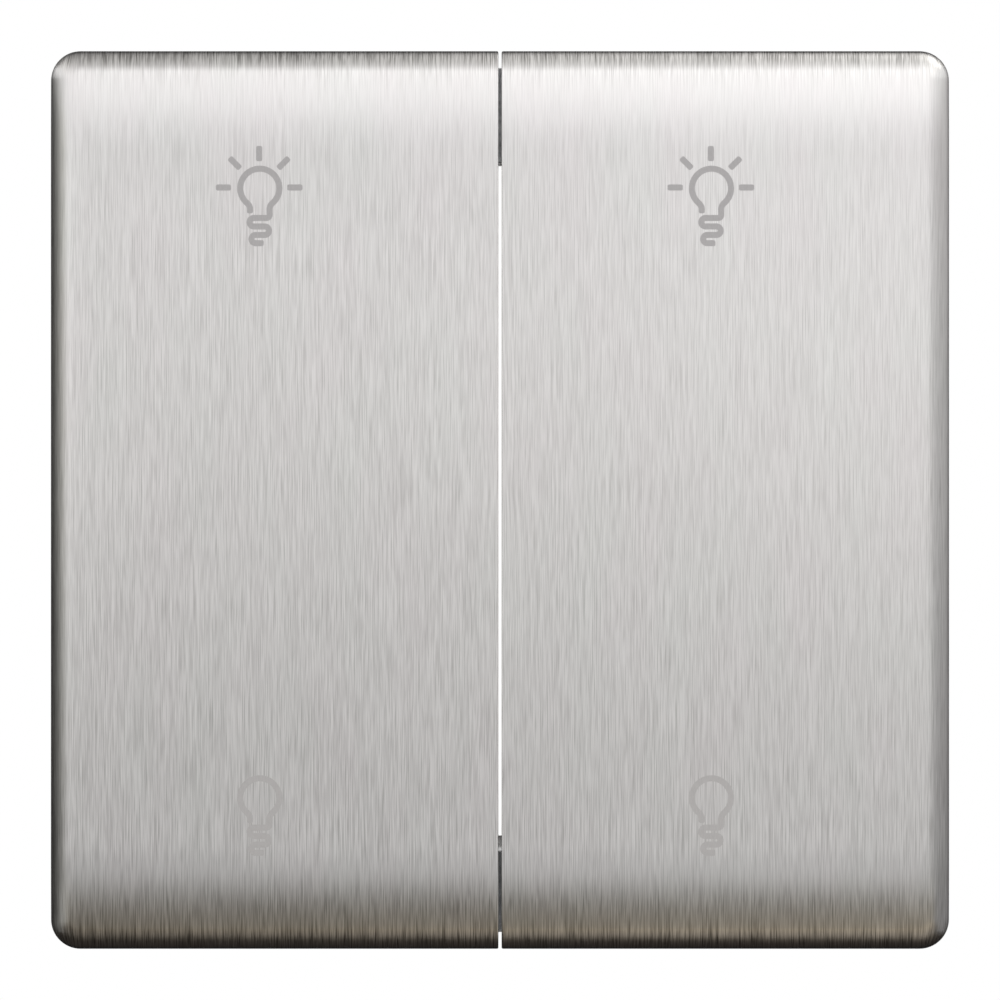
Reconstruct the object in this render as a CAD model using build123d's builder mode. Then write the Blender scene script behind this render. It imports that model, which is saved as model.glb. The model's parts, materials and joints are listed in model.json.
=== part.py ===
import math
import os

from build123d import *

os.makedirs("parts", exist_ok=True)

# Frame: X to the right, Y into the wall, Z up, origin in the wall plane, all sizes in millimetres

# Key pair, front sizes read from the photo on a 71 mm cover
pair_size = 71.0
key_gap = 0.25
corner_radius = 2.5
edge_radius = 1.7
crown_length = 8.0
crown_radius = 25.0
sheet = 0.6
bond_gap = 0.1
rim_clearance = 1.7
inner_bevel_share = 0.73
least_bevel = 0.1

# Tabs of the steel faces, bent over behind the carriers
tab_length = 1.1
tab_width = 4.0
tab_from_end = 15.5
tab_from_side = 10.5
tab_spacing = 15.0

# Key carriers
carrier_wall = 1.2
gap_side_room = 0.35
gap_rib = 0.8
rib_height = 1.2
rib_width = 1.0
rib_from_edge = 4.6
rib_spacing = 6.0
root = 0.3

# Key hinges
trunnion_radius = 1.2
trunnion_fit = 0.05
trunnion_end = 0.2
ear_rim = 0.2
ear_foot = 0.8
ear_width = 1.4
ear_inner = 6.2
ear_outer = 20.2
ear_clearance = 0.4
post_width = 1.6
post_gap = 0.4
post_rim = 1.15
post_foot = 0.6
jaw_height = 0.85
post_clearance = 0.45

# Support plate
plate_thickness = 1.2
plate_margin = 4.3
plate_cut = 2.5
opening_size = 41.0
opening_cut = 7.6
box_screw_spacing = 60.0
slot_length = 6.4
slot_width = 4.0
bend_share = 0.9

# Front cover and its screws
cover_margin = 2.4
cover_cut = 4.0
cover_wall = 1.5
cover_bevel = 0.6
screw_from_opening = 2.7
screw_radius = 1.1
screw_head_radius = 2.1
screw_head_height = 1.4
screw_slot = 0.6
screw_slot_depth = 0.7
screw_grip = 7.0
screw_fit = 0.15
pilot_fit = 0.05
pilot_spare = 0.6
boss_wall = 1.0

# Light guide and its lamp
guide_width = 1.1
guide_setback = 1.8
guide_end_room = 0.8
guide_foot = 8.0
guide_fit = 0.1
channel_wall = 0.8
channel_height = 1.0
channel_end = 1.5
lamp_gap = 0.3
lamp_base = (2.0, 0.8, 3.4)
lamp_lens = (1.6, 0.3, 2.2)

# Plungers and push switches
plunger_x = 10.2
plunger_width = 3.6
plunger_fit = 0.1
plunger_stand = 1.6
plunger_tip_bevel = 0.8
plunger_from_edge = 3.3
peg_width = 3.2
peg_gap = 0.1
guide_rim = 1.1
guide_rim_height = 0.6
collar_step = 0.8
collar_thickness = 0.5
stem_step = 0.5
lift_room = 0.7
press_room = 0.8
stem_clearance = 0.8
switch_wall = 0.8
switch_floor = 0.25
switch_fit = 0.2
switch_height = 2.0
switch_bevel = 0.5

# Centring springs
spring_from_ear = 3.7
spring_width = 5.0
spring_sheet = 0.3
spring_flat = 3.0
spring_reach = 10.5
spring_lip = 1.4
spring_lip_drop = 0.35
spring_gap = 0.1
stud_width = 1.6
stud_fit = 0.1
stud_stand = 0.4

# Boards
board_seat = 1.1
board_thickness = 1.6
board_margin = 2.0
board_corner_room = 1.2
power_board_size = 36.0
power_board_room = 1.3
web_seat = 1.1
link_size = (2.5, 16.0)
link_from_edge = 3.5
link_bevel = 0.5
chip_size = 7.0
chip_height = 0.9
chip_z = 9.5
chip_bevel = 0.2
hold_down_size = (3.0, 1.2)
hold_down_from_edge = 1.5

# Parts on the power board
part_spacing = 0.5
transistor_width = 6.6
transistor_height = 8.0
transistor_thickness = 4.0
transistor_room = 2.4
tab_side_room = 0.7
tab_past_body = 1.0
clip_sheet = 0.4
clip_width = 10.0
clip_neck = 1.6
clip_upper = 6.0
clip_lower = 8.0
lead_length = 2.5
lead_size = (0.8, 0.6)
lead_pitch = 2.3
lead_depth = 2.0
can_x = 5.0
can_radius = 4.0
can_height = 9.5
fuse_size = (2.6, 3.0, 8.0)
fuse_x = -2.2
varistor_size = (5.0, 4.0, 6.0)
varistor_x = -6.6
block_bevel = 0.5
choke_size = (14.0, 5.5, 12.0)
choke_window = (3.0, 8.0)
choke_leg = 4.0
winding_fit = 0.1
winding_sheet = 1.6
film_size = (13.0, 9.0, 6.0)
film_bevel = 0.8

# Terminals
terminal_count = 4
clamp_width = 4.2
clamp_height = 7.0
clamp_depth = 6.4
clamp_wall = 0.6
clamp_front_wall = 0.8
clamp_thread_wall = 1.6
clamp_recess = 0.9
block_rib = 1.8
block_side = 0.2
block_floor = 1.6
block_from_wall = 2.0
block_low_lip = 1.5
block_high_lip = 3.5
terminal_screw_radius = 1.4
terminal_screw_reach = 1.8
terminal_screw_stand = 0.3
terminal_slot = 0.6
terminal_slot_depth = 0.7
driver_room = 0.7
wire_entry = 3.4

# Rear housing
housing_lip = 4.5
housing_diagonal_lip = 5.1
housing_wall = 1.5
housing_bevel = 1.2
boss_reach = 2.6
vent_count = 7
vent_pitch = 4.0
vent_width = 1.6
vent_length = 10.0
vent_z = 10.0

# Depths, worked out from the wall plane forwards
plate_front = -plate_thickness
board_front = board_seat - board_thickness
switch_front = board_front - switch_height
collar_back = switch_front - press_room
collar_front = collar_back - collar_thickness
cover_inside = collar_front - lift_room
cover_front = cover_inside - cover_wall
ear_radius = trunnion_radius + ear_rim
hinge_y = cover_front - ear_clearance - ear_radius
post_top = hinge_y - jaw_height
carrier_under = post_top - post_clearance
carrier_inset = sheet + bond_gap
key_front = carrier_under - carrier_wall - carrier_inset
rim_y = plate_front - rim_clearance
carrier_back = rim_y - sheet
guide_front = key_front + guide_setback
plunger_tip = cover_front - plunger_stand
rib_end = carrier_under + rib_height
gap_wall_back = carrier_under + gap_rib

# Depths, worked out from the wall plane backwards
body_front = board_seat + transistor_room
body_back = body_front + transistor_height
tab_end = body_back + tab_past_body
power_board_front = body_back + lead_length
power_board_back = power_board_front + board_thickness
clamp_front = power_board_back + block_floor
clamp_back = clamp_front + clamp_depth
housing_inside = clamp_back + clamp_recess
housing_depth = housing_inside + housing_wall

# Places across the front
half = pair_size / 2
flat_half = half - crown_length
guide_half = flat_half - guide_end_room
channel = guide_width / 2 + guide_fit
carrier_side = guide_width / 2 + gap_side_room
gap_wall_end = carrier_side + carrier_wall
inner_edge = half - carrier_inset - carrier_wall
inner_bevel = inner_bevel_share * (edge_radius - sheet)
post_bore = trunnion_radius + trunnion_fit
trunnion_reach = post_gap + post_width + trunnion_end
ear_places = (ear_inner, ear_outer)
post_places = (ear_inner - post_gap - post_width, ear_outer + ear_width + post_gap)
spring_x = ear_outer - spring_from_ear
cover_half = post_places[1] + post_width + cover_margin

# Places round the opening of the plate
opening_half = opening_size / 2
opening_diagonal = opening_half - opening_cut / 2
screw_place = opening_diagonal + screw_from_opening * math.sqrt(0.5)
board_half = opening_half - board_margin
board_cut = 2 * (board_half - opening_diagonal + board_corner_room)
plunger_z = board_half - plunger_from_edge
link_x = board_half - link_from_edge
web_inner = board_half - board_cut / 2 - web_seat
power_board_cut = power_board_size - 2 * web_inner + power_board_room
housing_half = opening_half + housing_lip
housing_diagonal = opening_diagonal + housing_diagonal_lip * math.sqrt(0.5)
housing_cut = 2 * (housing_half - housing_diagonal)
cavity_half = housing_half - housing_wall
cavity_cut = 2 * (cavity_half - housing_diagonal + housing_wall * math.sqrt(0.5))
tab_under = opening_half - plate_thickness
transistor_x = (transistor_width + tab_side_room) / 2
cooling_tab_half = transistor_width + tab_side_room
transistor_low = tab_under - transistor_thickness
can_z = transistor_low - clip_sheet - part_spacing - can_radius
choke_z = can_z - can_radius - part_spacing - choke_size[2] / 2
film_z = choke_z - choke_size[2] / 2 - part_spacing - film_size[2] / 2
terminal_pitch = clamp_width + block_rib
terminal_places = [(i - (terminal_count - 1) / 2) * terminal_pitch for i in range(terminal_count)]
block_half = terminal_pitch * terminal_count / 2 + block_side
block_low = -(cavity_half - block_from_wall)
terminal_z = block_low + block_low_lip + clamp_height / 2
block_high = terminal_z + clamp_height / 2 + block_high_lip
four_corners = [(x, z) for x in (-1, 1) for z in (-1, 1)]
over = 1.0


def save(part, label):
    """Names a finished piece and writes it out."""
    part.label = label
    export_step(part, f"parts/{label}.step")


def box(x0, x1, y0, y1, z0, z1, mode=Mode.ADD):
    """Block between two corners, given in any order."""
    with Locations(((x0 + x1) / 2, (y0 + y1) / 2, (z0 + z1) / 2)):
        Box(abs(x1 - x0), abs(y1 - y0), abs(z1 - z0), mode=mode)


def square_pin(x, z, y0, y1, width, mode=Mode.ADD):
    """Square pin along Y."""
    box(x - width / 2, x + width / 2, y0, y1, z - width / 2, z + width / 2, mode)


def pin_x(x0, x1, y, z, radius, mode=Mode.ADD):
    """Round pin along X."""
    with Locations(((x0 + x1) / 2, y, z)):
        Cylinder(radius, abs(x1 - x0), rotation=(0, 90, 0), mode=mode)


def pin_y(x, z, y0, y1, radius, mode=Mode.ADD):
    """Round pin along Y."""
    with Locations((x, (y0 + y1) / 2, z)):
        Cylinder(radius, y1 - y0, rotation=(90, 0, 0), mode=mode)


def cut_corner_plate(half_size, cut, y0, y1):
    """Square plate with its corners cut off between two depths."""
    with BuildPart() as plate:
        box(-half_size, half_size, y0, y1, -half_size, half_size)
        chamfer(plate.edges().filter_by(Axis.Y), cut)
    return plate.part


def is_front_outline(edge, top, gap_x, back_y):
    """True for the edges round the front of a key block, apart from the gap side."""
    place = edge.center()
    along_y = abs(edge.tangent_at(0.5).Y) > 0.99
    seam = abs(place.Z) < top - root and abs(edge.tangent_at(0.5).X) > 0.99
    return place.X > gap_x + root and place.Y < back_y - root and not along_y and not seam


def key_block(inset, gap_x, back_y, rounding=0.0, bevel=0.0):
    """Block under the right key's outer skin, moved inwards by the inset, its front edges eased."""
    top = half - inset
    front_y = key_front + inset
    roll = crown_radius - inset
    turn = math.degrees(math.asin((top - flat_half) / roll))
    with BuildPart() as block:
        with BuildSketch(Plane.YZ.offset(gap_x)):
            with BuildLine():
                front = Line((front_y, -flat_half), (front_y, flat_half))
                upper = JernArc(front @ 1, (0, 1), roll, -turn)
                lower = JernArc(front @ 0, (0, -1), roll, turn)
                Polyline(upper @ 1, (back_y, top), (back_y, -top), lower @ 1)
            make_face()
        extrude(amount=top - gap_x)
        corners = block.edges().filter_by(Axis.Y).group_by(Axis.X)[-1]
        if rounding:
            fillet(corners, corner_radius)
        else:
            chamfer(corners, max(inner_bevel_share * (corner_radius - inset), least_bevel))
        outline = block.edges().filter_by(lambda edge: is_front_outline(edge, top, gap_x, back_y))
        if rounding:
            fillet(outline, rounding)
        elif bevel:
            chamfer(outline, bevel)
    return block.part


# Steel key faces, open at the back and towards the gap, with tabs bent over behind the carrier
tab_root = half - sheet / 2
tab_tip = half - sheet - tab_length
end_tabs_x = (half - tab_from_side - tab_spacing, half - tab_from_side)
side_tabs_z = (tab_from_end - half, 0, half - tab_from_end)

with BuildPart() as key_face_right:
    add(key_block(0, key_gap / 2, rim_y, rounding=edge_radius))
    add(key_block(sheet, key_gap / 2 - over, rim_y + over, bevel=inner_bevel), mode=Mode.SUBTRACT)
    for tab_z in side_tabs_z:
        box(tab_tip, tab_root, carrier_back, rim_y, tab_z - tab_width / 2, tab_z + tab_width / 2)
    for tab_x in end_tabs_x:
        for end in (-1, 1):
            box(
                tab_x - tab_width / 2, tab_x + tab_width / 2, carrier_back, rim_y,
                end * tab_tip, end * tab_root,
            )

with BuildPart() as key_face_left:
    mirror(key_face_right.part, about=Plane.YZ)

save(key_face_left.part, "key_face_left")
save(key_face_right.part, "key_face_right")


def hinge_ear(x):
    """Tapered ear under a carrier whose end, with its corners cut, is on the hinge line."""
    with BuildPart() as ear:
        with BuildSketch(Plane.YZ.offset(x)):
            with BuildLine():
                Polyline(
                    (carrier_under - root, -ear_radius - ear_foot),
                    (hinge_y, -ear_radius),
                    (hinge_y + ear_radius, -ear_radius / 2),
                    (hinge_y + ear_radius, ear_radius / 2),
                    (hinge_y, ear_radius),
                    (carrier_under - root, ear_radius + ear_foot),
                    close=True,
                )
            make_face()
        extrude(amount=ear_width)
    return ear.part


# Moulded key carriers with stiffening ribs, switch pegs and hinge trunnions
end_rib_z = inner_edge - rib_from_edge

with BuildPart() as key_carrier_right:
    add(key_block(carrier_inset, carrier_side, carrier_back, bevel=inner_bevel))
    add(key_block(carrier_inset + carrier_wall, gap_wall_end, carrier_back + over), mode=Mode.SUBTRACT)
    box(carrier_side - over, gap_wall_end + over, gap_wall_back, 0, -half, half, Mode.SUBTRACT)
    for rib_z in (-end_rib_z, rib_spacing - end_rib_z, end_rib_z - rib_spacing, end_rib_z):
        box(
            gap_wall_end - root, inner_edge + root, carrier_under - root, rib_end,
            rib_z - rib_width / 2, rib_z + rib_width / 2,
        )
    box(end_rib_z, end_rib_z + rib_width, carrier_under - root, rib_end, -inner_edge, inner_edge)
    for ear_x in ear_places:
        add(hinge_ear(ear_x))
    pin_x(ear_inner - trunnion_reach, ear_inner + root, hinge_y, 0, trunnion_radius)
    pin_x(ear_outer + ear_width - root, ear_outer + ear_width + trunnion_reach, hinge_y, 0, trunnion_radius)
    for end in (-1, 1):
        square_pin(plunger_x, end * plunger_z, carrier_under - root, plunger_tip - peg_gap, peg_width)

with BuildPart() as key_carrier_left:
    mirror(key_carrier_right.part, about=Plane.YZ)

save(key_carrier_left.part, "key_carrier_left")
save(key_carrier_right.part, "key_carrier_right")

# Support plate with two box screw slots, the opening for the insert and a bent cooling tab
plate_half = box_screw_spacing / 2 + plate_margin
screw_hole = 2 * (screw_radius + screw_fit)

with BuildPart() as support_plate:
    add(cut_corner_plate(plate_half, plate_cut, plate_front, 0))
    add(cut_corner_plate(opening_half, opening_cut, plate_front, 0), mode=Mode.SUBTRACT)
    with BuildSketch(Plane.XZ.offset(plate_thickness)):
        with Locations((-box_screw_spacing / 2, 0), (box_screw_spacing / 2, 0)):
            SlotOverall(slot_length, slot_width)
    extrude(amount=-plate_thickness, mode=Mode.SUBTRACT)
    for x, z in four_corners:
        square_pin(x * screw_place, z * screw_place, plate_front, 0, screw_hole, Mode.SUBTRACT)
    box(-cooling_tab_half, cooling_tab_half, plate_front, tab_end, tab_under, opening_half)
    box(-cooling_tab_half, cooling_tab_half, plate_front, 0, opening_half - root, opening_half + root)
    bend = support_plate.edges().filter_by(Axis.X).group_by(Axis.Y)[0].sort_by(Axis.Z)
    fillet([edge for edge in bend if abs(edge.center().Z - tab_under) < 0.01], plate_thickness * bend_share)

save(support_plate.part, "support_plate")


def bearing_post(x):
    """Tapered post whose open jaw takes a trunnion."""
    with BuildPart() as post:
        with BuildSketch(Plane.YZ.offset(x)):
            with BuildLine():
                Polyline(
                    (cover_front + root, -post_bore - post_rim - post_foot),
                    (post_top, -post_bore - post_rim),
                    (post_top, post_bore + post_rim),
                    (cover_front + root, post_bore + post_rim + post_foot),
                    close=True,
                )
            make_face()
            with Locations((hinge_y, 0)):
                Circle(post_bore, mode=Mode.SUBTRACT)
        extrude(amount=post_width)
    return post.part


# Front cover of the insert with plunger guides, bearing posts, spring studs and the light channel
boss_width = screw_hole + 2 * boss_wall
guide_hole = plunger_width + 2 * plunger_fit
rim_front = cover_front - guide_rim_height
hold_down_z = board_half - hold_down_from_edge
channel_length = cover_half - channel_end
stud_front = cover_front - spring_sheet - stud_stand

with BuildPart() as front_cover:
    add(cut_corner_plate(cover_half, cover_cut, cover_front, plate_front))
    chamfer(front_cover.edges().group_by(Axis.Y)[0], cover_bevel)
    add(
        cut_corner_plate(cover_half - cover_wall, cover_cut - cover_bevel, cover_inside, plate_front),
        mode=Mode.SUBTRACT,
    )
    for x, z in four_corners:
        square_pin(x * screw_place, z * screw_place, cover_inside - root, plate_front, boss_width)
        pin_y(
            x * screw_place, z * screw_place, cover_front - over, plate_front + over,
            screw_hole / 2, Mode.SUBTRACT,
        )
        square_pin(x * plunger_x, z * plunger_z, rim_front, cover_front + root, guide_hole + 2 * guide_rim)
        square_pin(
            x * plunger_x, z * plunger_z, rim_front - over, cover_inside + over, guide_hole, Mode.SUBTRACT,
        )
    for side in (-1, 1):
        for post_x in post_places:
            add(bearing_post(side * (post_x + post_width / 2) - post_width / 2))
        box(
            side * channel, side * (channel + channel_wall), cover_front - channel_height, cover_front + root,
            -channel_length, channel_length,
        )
        square_pin(side * spring_x, 0, stud_front, cover_front + root, stud_width)
        box(
            -hold_down_size[0] / 2, hold_down_size[0] / 2, cover_inside - root, board_front,
            side * hold_down_z - hold_down_size[1] / 2, side * hold_down_z + hold_down_size[1] / 2,
        )
    box(
        -channel, channel, cover_front - over, cover_inside + over,
        -guide_foot / 2 - guide_fit, guide_foot / 2 + guide_fit, Mode.SUBTRACT,
    )

save(front_cover.part, "front_cover")

# Light guide: a strip behind the gap with a foot over the lamp
lens_front = board_front - lamp_base[1] - lamp_lens[1]

with BuildPart() as light_guide:
    box(-guide_width / 2, guide_width / 2, guide_front, cover_front, -guide_half, guide_half)
    box(
        -guide_width / 2, guide_width / 2, cover_front - root, lens_front - lamp_gap,
        -guide_foot / 2, guide_foot / 2,
    )

save(light_guide.part, "light_guide")

# Orientation lamp on the control board: base and lens
with BuildPart() as orientation_led:
    with Locations((0, board_front - lamp_base[1] / 2, 0)):
        Box(*lamp_base)
    with Locations((0, lens_front + lamp_lens[1] / 2, 0)):
        Box(*lamp_lens)

save(orientation_led.part, "orientation_led")

# Housing screws, four alike
head_front = cover_front - screw_head_height

with BuildPart() as housing_screws:
    for x, z in four_corners:
        pin_y(x * screw_place, z * screw_place, head_front, cover_front, screw_head_radius)
        pin_y(x * screw_place, z * screw_place, cover_front - root, screw_grip, screw_radius)
        box(
            x * screw_place - screw_head_radius, x * screw_place + screw_head_radius,
            head_front - over, head_front + screw_slot_depth,
            z * screw_place - screw_slot / 2, z * screw_place + screw_slot / 2, Mode.SUBTRACT,
        )

save(housing_screws.part, "housing_screws")

# Push pins with a bevelled tip, a collar under the cover and a stem in the switch, and their switches
collar_width = plunger_width + 2 * collar_step
stem_width = plunger_width - 2 * stem_step
stem_end = board_front - switch_floor - stem_clearance
switch_well = stem_width + 2 * switch_fit
switch_width = switch_well + 2 * switch_wall


def plunger(x, z):
    """Push pin between a key's peg and its switch."""
    with BuildPart() as piece:
        square_pin(x, z, plunger_tip, collar_front + root, plunger_width)
        chamfer(piece.faces().sort_by(Axis.Y)[0].edges(), plunger_tip_bevel, plunger_tip_bevel / 2)
        square_pin(x, z, collar_front, collar_back, collar_width)
        square_pin(x, z, collar_back - root, stem_end, stem_width)
    return piece.part


def push_switch(x, z):
    """Short-travel switch body with a well for the plunger's stem."""
    with BuildPart() as piece:
        square_pin(x, z, switch_front, board_front, switch_width)
        chamfer(piece.edges().filter_by(Axis.Y), switch_bevel)
        square_pin(x, z, switch_front - over, board_front - switch_floor, switch_well, Mode.SUBTRACT)
    return piece.part


for side_name, side in (("left", -1), ("right", 1)):
    for end_name, end in (("upper", 1), ("lower", -1)):
        save(plunger(side * plunger_x, end * plunger_z), f"plunger_{side_name}_{end_name}")
        save(push_switch(side * plunger_x, end * plunger_z), f"push_switch_{side_name}_{end_name}")


def centering_spring(x):
    """Leaf spring held by a stud of the cover, its two arms under the key carrier."""
    flat_y = cover_front - spring_sheet / 2
    arm_y = carrier_under + spring_gap + spring_sheet / 2
    with BuildPart() as piece:
        with BuildSketch(Plane.YZ.offset(x)):
            with BuildLine():
                Polyline(
                    (arm_y + spring_lip_drop, -spring_reach - spring_lip),
                    (arm_y, -spring_reach),
                    (flat_y, -spring_flat),
                    (flat_y, spring_flat),
                    (arm_y, spring_reach),
                    (arm_y + spring_lip_drop, spring_reach + spring_lip),
                )
            trace(line_width=spring_sheet)
        extrude(amount=spring_width / 2, both=True)
        square_pin(x, 0, cover_front - over, cover_front + over, stud_width + 2 * stud_fit, Mode.SUBTRACT)
    return piece.part


for side_name, side in (("left", -1), ("right", 1)):
    save(centering_spring(side * spring_x), f"centering_spring_{side_name}")

# Control board with its controller, power board and the two links between the boards
with BuildPart() as control_board:
    add(cut_corner_plate(board_half, board_cut, board_front, board_seat))

save(control_board.part, "control_board")

with BuildPart() as controller_chip:
    square_pin(0, chip_z, board_front - chip_height, board_front, chip_size)
    chamfer(controller_chip.edges().group_by(Axis.Y)[0], chip_bevel)

save(controller_chip.part, "controller_chip")

with BuildPart() as power_board:
    add(cut_corner_plate(power_board_size / 2, power_board_cut, power_board_front, power_board_back))

save(power_board.part, "power_board")

for side_name, side in (("left", -1), ("right", 1)):
    with BuildPart() as board_link:
        with Locations((side * link_x, (board_seat + power_board_front) / 2, 0)):
            Box(link_size[0], power_board_front - board_seat, link_size[1])
        chamfer(board_link.edges().filter_by(Axis.Y), link_bevel)
    save(board_link.part, f"board_link_{side_name}")

# Choke: a closed core with two windows and a coil round its middle leg
winding_side = choke_leg / 2 + choke_window[0] - winding_fit
winding_depth = choke_size[1] / 2 + winding_fit + winding_sheet
choke_y = power_board_front - winding_depth

with BuildPart() as choke_core:
    with Locations((0, choke_y, choke_z)):
        Box(*choke_size)
    for side in (-1, 1):
        with Locations((side * (choke_leg + choke_window[0]) / 2, choke_y, choke_z)):
            Box(choke_window[0], choke_size[1], choke_window[1], mode=Mode.SUBTRACT)

save(choke_core.part, "choke_core")

with BuildPart() as choke_winding:
    with Locations((0, choke_y, choke_z)):
        Box(2 * winding_side, 2 * winding_depth, choke_window[1] - 2 * winding_fit)
    chamfer(choke_winding.edges().filter_by(Axis.Z), winding_sheet / 2)
    with Locations((0, choke_y, choke_z)):
        Box(
            choke_leg + 2 * winding_fit, choke_size[1] + 2 * winding_fit, choke_window[1],
            mode=Mode.SUBTRACT,
        )

save(choke_winding.part, "choke_winding")

# Film capacitor, storage capacitor, fuse and varistor, standing on the power board
with BuildPart() as film_capacitor:
    with Locations((0, power_board_front - film_size[1] / 2, film_z)):
        Box(*film_size)
    chamfer(film_capacitor.edges().filter_by(Axis.Y), film_bevel)

save(film_capacitor.part, "film_capacitor")

with BuildPart() as storage_capacitor:
    pin_y(can_x, can_z, power_board_front - can_height, power_board_front, can_radius)

save(storage_capacitor.part, "storage_capacitor")

with BuildPart() as fuse:
    with Locations((fuse_x, power_board_front - fuse_size[1] / 2, can_z)):
        Box(*fuse_size)
    chamfer(fuse.edges().filter_by(Axis.Z).group_by(Axis.Y)[0], block_bevel)

save(fuse.part, "fuse")

with BuildPart() as varistor:
    with Locations((varistor_x, power_board_front - varistor_size[1] / 2, can_z)):
        Box(*varistor_size)
    chamfer(varistor.edges().group_by(Axis.Y)[0], block_bevel)

save(varistor.part, "varistor")

# Power transistors, flat against the cooling tab, with three leads each
lead_z = tab_under - lead_depth

for side_name, side in (("left", -1), ("right", 1)):
    place_x = side * transistor_x
    with BuildPart() as power_transistor:
        box(
            place_x - transistor_width / 2, place_x + transistor_width / 2, body_front, body_back,
            transistor_low, tab_under,
        )
        for lead_x in (place_x - lead_pitch, place_x, place_x + lead_pitch):
            box(
                lead_x - lead_size[0] / 2, lead_x + lead_size[0] / 2, body_back - root, power_board_front,
                lead_z - lead_size[1] / 2, lead_z + lead_size[1] / 2,
            )
    save(power_transistor.part, f"power_transistor_{side_name}")

# Spring clip, pushed over the end of the cooling tab, that holds both transistors against it
clip_low = transistor_low - clip_sheet

with BuildPart() as transistor_clip:
    with BuildSketch(Plane.YZ):
        with BuildLine():
            Polyline(
                (tab_end - clip_upper, opening_half + clip_sheet / 2),
                (tab_end + clip_sheet / 2, opening_half + clip_sheet / 2),
                (tab_end + clip_sheet / 2, clip_low + clip_sheet / 2),
                (tab_end - clip_lower, clip_low + clip_sheet / 2),
            )
        trace(line_width=clip_sheet)
    extrude(amount=clip_width / 2, both=True)
    for side in (-1, 1):
        box(
            side * clip_neck / 2, side * clip_width, body_back + root, tab_end + over,
            clip_low - over, opening_half + over, Mode.SUBTRACT,
        )

save(transistor_clip.part, "transistor_clip")

# Terminal block, its clamps and their screws
with BuildPart() as terminal_block:
    box(-block_half, block_half, power_board_back, housing_inside, block_low, block_high)
    for place_x in terminal_places:
        box(
            place_x - clamp_width / 2, place_x + clamp_width / 2, clamp_front, housing_inside + over,
            block_low - over, terminal_z + clamp_height / 2, Mode.SUBTRACT,
        )

save(terminal_block.part, "terminal_block")

for number, place_x in enumerate(terminal_places, start=1):
    with BuildPart() as terminal_clamp:
        box(
            place_x - clamp_width / 2, place_x + clamp_width / 2, clamp_front, clamp_back,
            terminal_z - clamp_height / 2, terminal_z + clamp_height / 2,
        )
        box(
            place_x - clamp_width / 2 + clamp_wall, place_x + clamp_width / 2 - clamp_wall,
            clamp_front + clamp_front_wall, clamp_back - clamp_thread_wall,
            terminal_z - clamp_height, terminal_z + clamp_height, Mode.SUBTRACT,
        )
        square_pin(
            place_x, terminal_z, clamp_back - clamp_thread_wall - root, clamp_back + over,
            2 * (terminal_screw_radius + pilot_fit), Mode.SUBTRACT,
        )
    save(terminal_clamp.part, f"terminal_clamp_{number}")

screw_back = clamp_back + terminal_screw_stand

with BuildPart() as terminal_screws:
    for place_x in terminal_places:
        pin_y(
            place_x, terminal_z, clamp_back - clamp_thread_wall - terminal_screw_reach, screw_back,
            terminal_screw_radius,
        )
        box(
            place_x - terminal_screw_radius, place_x + terminal_screw_radius,
            screw_back - terminal_slot_depth, screw_back + over,
            terminal_z - terminal_slot / 2, terminal_z + terminal_slot / 2, Mode.SUBTRACT,
        )

save(terminal_screws.part, "terminal_screws")

# Rear housing: its cavity leaves screw bosses and board seats standing in the corners
boss_inner = screw_place - boss_reach
pilot_end = screw_grip + pilot_spare
entry_y = (clamp_front + clamp_front_wall + clamp_back - clamp_thread_wall) / 2

with BuildPart() as housing_cavity:
    add(cut_corner_plate(cavity_half, cavity_cut, 0, housing_inside))
    for x, z in four_corners:
        box(
            x * boss_inner, x * cavity_half, 0, housing_inside,
            z * boss_inner, z * cavity_half, Mode.SUBTRACT,
        )
        box(
            x * web_inner, x * cavity_half, board_seat, housing_inside,
            z * web_inner, z * cavity_half, Mode.SUBTRACT,
        )

with BuildPart() as rear_housing:
    add(cut_corner_plate(housing_half, housing_cut, 0, housing_depth))
    chamfer(rear_housing.edges().group_by(Axis.Y)[-1], housing_bevel)
    add(housing_cavity.part, mode=Mode.SUBTRACT)
    for x, z in four_corners:
        pin_y(x * screw_place, z * screw_place, -over, pilot_end, screw_radius + pilot_fit, Mode.SUBTRACT)
    with Locations((0, housing_inside + housing_wall / 2, vent_z)):
        with GridLocations(vent_pitch, 0, vent_count, 1):
            Box(vent_width, housing_wall + over, vent_length, mode=Mode.SUBTRACT)
    for place_x in terminal_places:
        square_pin(
            place_x, terminal_z, housing_inside - root, housing_depth + over,
            2 * (terminal_screw_radius + driver_room), Mode.SUBTRACT,
        )
        box(
            place_x - wire_entry / 2, place_x + wire_entry / 2,
            entry_y - wire_entry / 2, entry_y + wire_entry / 2,
            -housing_half - over, -cavity_half + root, Mode.SUBTRACT,
        )

save(rear_housing.part, "rear_housing")
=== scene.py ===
# %% [markdown]
# # A dimmer insert with two brushed steel keys
# The real object fills a flush wall box. Two tall rocker keys of formed steel sheet stand side by
# side, and behind them sit a moulded cover, a steel plate, two boards and a housing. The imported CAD
# model already holds every piece in its place, so it is loaded first. All that follows is made in
# the same frame, in metres, with -Y towards the room and +Z up.

# %% Load the frame
import json
import math

import bmesh
import bpy
from mathutils import Matrix, Vector


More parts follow.
